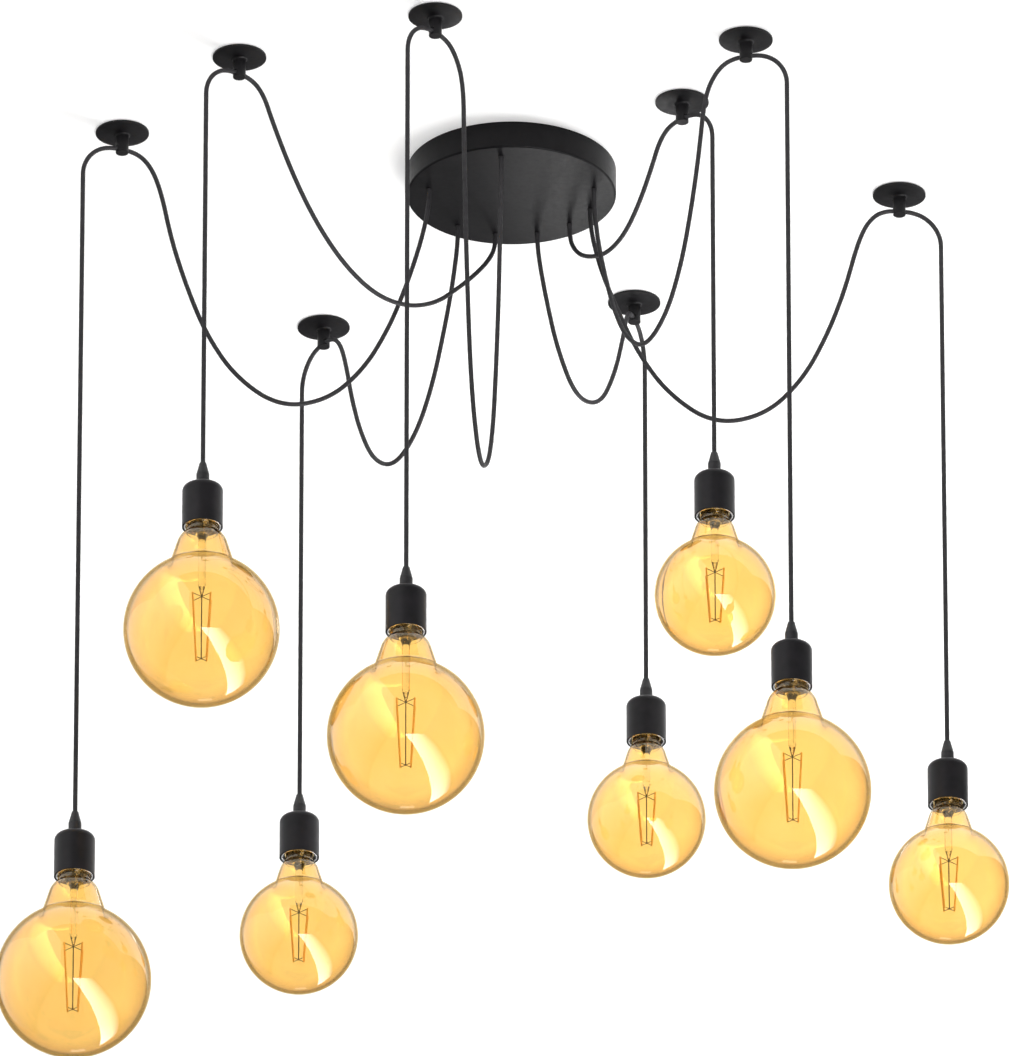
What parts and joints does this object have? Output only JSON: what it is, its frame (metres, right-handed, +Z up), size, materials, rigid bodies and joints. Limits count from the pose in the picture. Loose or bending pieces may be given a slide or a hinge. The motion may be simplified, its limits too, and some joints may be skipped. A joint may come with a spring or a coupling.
{
  "type": "cluster pendant",
  "caption": "Round black ceiling canopy with cords swagged over ceiling hooks, each dropping to a black socket cup with an amber globe bulb.",
  "frame": {"origin": "in the ceiling plane at the centre of the canopy", "axes": "+Z up into the ceiling, -Y towards the viewer of the picture, +X to the viewer's right"},
  "size_m": [1.0433, 0.9085, 1.098],
  "materials": {
    "black_coat": "satin",
    "zinc_steel": "zinc plated",
    "screw_black": "black oxide",
    "block_plastic": "moulded",
    "black_plastic": "moulded",
    "cord_sheath": "matt",
    "chrome_ring": "bright",
    "amber_glass": "amber tinted, clear"
  },
  "bodies": {
    "canopy_frame": {"canopy_cup": "black_coat", "ceiling_bracket": "zinc_steel", "bracket_screws": "zinc_steel", "canopy_screws": "screw_black", "terminal_block": "block_plastic", "cord_clamps": "black_plastic", "ceiling_hooks": "black_coat", "hook_screws": "zinc_steel", "swag_cord_1": "cord_sheath", "swag_cord_2": "cord_sheath", "swag_cord_3": "cord_sheath", "swag_cord_4": "cord_sheath", "swag_cord_5": "cord_sheath", "swag_cord_6": "cord_sheath", "swag_cord_7": "cord_sheath", "swag_cord_8": "cord_sheath"},
    "cord_1": {"drop_cord_1": "cord_sheath"},
    "lamp_1": {"cord_grip_1": "black_plastic", "socket_cup_1": "black_coat", "lampholder_1": "chrome_ring", "bulb_1": "amber_glass"},
    "cord_2": {"drop_cord_2": "cord_sheath"},
    "lamp_2": {"cord_grip_2": "black_plastic", "socket_cup_2": "black_coat", "lampholder_2": "chrome_ring", "bulb_2": "amber_glass"},
    "cord_3": {"drop_cord_3": "cord_sheath"},
    "lamp_3": {"cord_grip_3": "black_plastic", "socket_cup_3": "black_coat", "lampholder_3": "chrome_ring", "bulb_3": "amber_glass"},
    "cord_4": {"drop_cord_4": "cord_sheath"},
    "lamp_4": {"cord_grip_4": "black_plastic", "socket_cup_4": "black_coat", "lampholder_4": "chrome_ring", "bulb_4": "amber_glass"},
    "cord_5": {"drop_cord_5": "cord_sheath"},
    "lamp_5": {"cord_grip_5": "black_plastic", "socket_cup_5": "black_coat", "lampholder_5": "chrome_ring", "bulb_5": "amber_glass"},
    "cord_6": {"drop_cord_6": "cord_sheath"},
    "lamp_6": {"cord_grip_6": "black_plastic", "socket_cup_6": "black_coat", "lampholder_6": "chrome_ring", "bulb_6": "amber_glass"},
    "cord_7": {"drop_cord_7": "cord_sheath"},
    "lamp_7": {"cord_grip_7": "black_plastic", "socket_cup_7": "black_coat", "lampholder_7": "chrome_ring", "bulb_7": "amber_glass"},
    "cord_8": {"drop_cord_8": "cord_sheath"},
    "lamp_8": {"cord_grip_8": "black_plastic", "socket_cup_8": "black_coat", "lampholder_8": "chrome_ring", "bulb_8": "amber_glass"}
  },
  "joints": [
    {"name": "cord_swing_1", "type": "hinge", "parent": "canopy_frame", "child": "cord_1", "pos_m": [-0.4482, -0.1039, -0.07275], "axis": [-0.4067, 0.9135, 0], "range_deg": [-6, 6]},
    {"name": "lamp_tilt_1", "type": "hinge", "parent": "cord_1", "child": "lamp_1", "pos_m": [-0.4482, -0.1039, -0.802], "axis": [-0.9135, -0.4067, 0], "range_deg": [-5, 5]},
    {"name": "cord_swing_2", "type": "hinge", "parent": "canopy_frame", "child": "cord_2", "pos_m": [-0.31671, -0.28028, -0.07275], "axis": [-0.6428, 0.766, 0], "range_deg": [-6, 6]},
    {"name": "lamp_tilt_2", "type": "hinge", "parent": "cord_2", "child": "lamp_2", "pos_m": [-0.31671, -0.28028, -0.49], "axis": [-0.766, -0.6428, 0], "range_deg": [-5, 5]},
    {"name": "cord_swing_3", "type": "hinge", "parent": "canopy_frame", "child": "cord_3", "pos_m": [-0.22432, 0.39031, -0.07275], "axis": [0.848, 0.5299, 0], "range_deg": [-6, 6]},
    {"name": "lamp_tilt_3", "type": "hinge", "parent": "cord_3", "child": "lamp_3", "pos_m": [-0.22432, 0.39031, -0.54], "axis": [-0.5299, 0.848, 0], "range_deg": [-5, 5]},
    {"name": "cord_swing_4", "type": "hinge", "parent": "canopy_frame", "child": "cord_4", "pos_m": [-0.10728, -0.37571, -0.07275], "axis": [-0.766, 0.6428, 0], "range_deg": [-6, 6]},
    {"name": "lamp_tilt_4", "type": "hinge", "parent": "cord_4", "child": "lamp_4", "pos_m": [-0.10728, -0.37571, -0.658], "axis": [-0.6428, -0.766, 0], "range_deg": [-5, 5]},
    {"name": "cord_swing_5", "type": "hinge", "parent": "canopy_frame", "child": "cord_5", "pos_m": [0.14239, 0.3385, -0.07275], "axis": [0.9659, -0.2588, 0], "range_deg": [-6, 6]},
    {"name": "lamp_tilt_5", "type": "hinge", "parent": "cord_5", "child": "lamp_5", "pos_m": [0.14239, 0.3385, -0.429], "axis": [0.2588, 0.9659, 0], "range_deg": [-5, 5]},
    {"name": "cord_swing_6", "type": "hinge", "parent": "canopy_frame", "child": "cord_6", "pos_m": [0.20911, -0.18511, -0.07275], "axis": [-0.7071, -0.7071, 0], "range_deg": [-4, 4]},
    {"name": "lamp_tilt_6", "type": "hinge", "parent": "cord_6", "child": "lamp_6", "pos_m": [0.20911, -0.18511, -0.429], "axis": [0.7071, -0.7071, 0], "range_deg": [-5, 5]},
    {"name": "cord_swing_7", "type": "hinge", "parent": "canopy_frame", "child": "cord_7", "pos_m": [0.28508, -0.30286, -0.07275], "axis": [-0.2924, -0.9563, 0], "range_deg": [-4, 4]},
    {"name": "lamp_tilt_7", "type": "hinge", "parent": "cord_7", "child": "lamp_7", "pos_m": [0.28508, -0.30286, -0.684], "axis": [0.9563, -0.2924, 0], "range_deg": [-5, 5]},
    {"name": "cord_swing_8", "type": "hinge", "parent": "canopy_frame", "child": "cord_8", "pos_m": [0.45257, 0.05812, -0.07275], "axis": [0.1392, -0.9903, 0], "range_deg": [-6, 6]},
    {"name": "lamp_tilt_8", "type": "hinge", "parent": "cord_8", "child": "lamp_8", "pos_m": [0.45257, 0.05812, -0.641], "axis": [0.9903, 0.1392, 0], "range_deg": [-5, 5]}
  ]
}
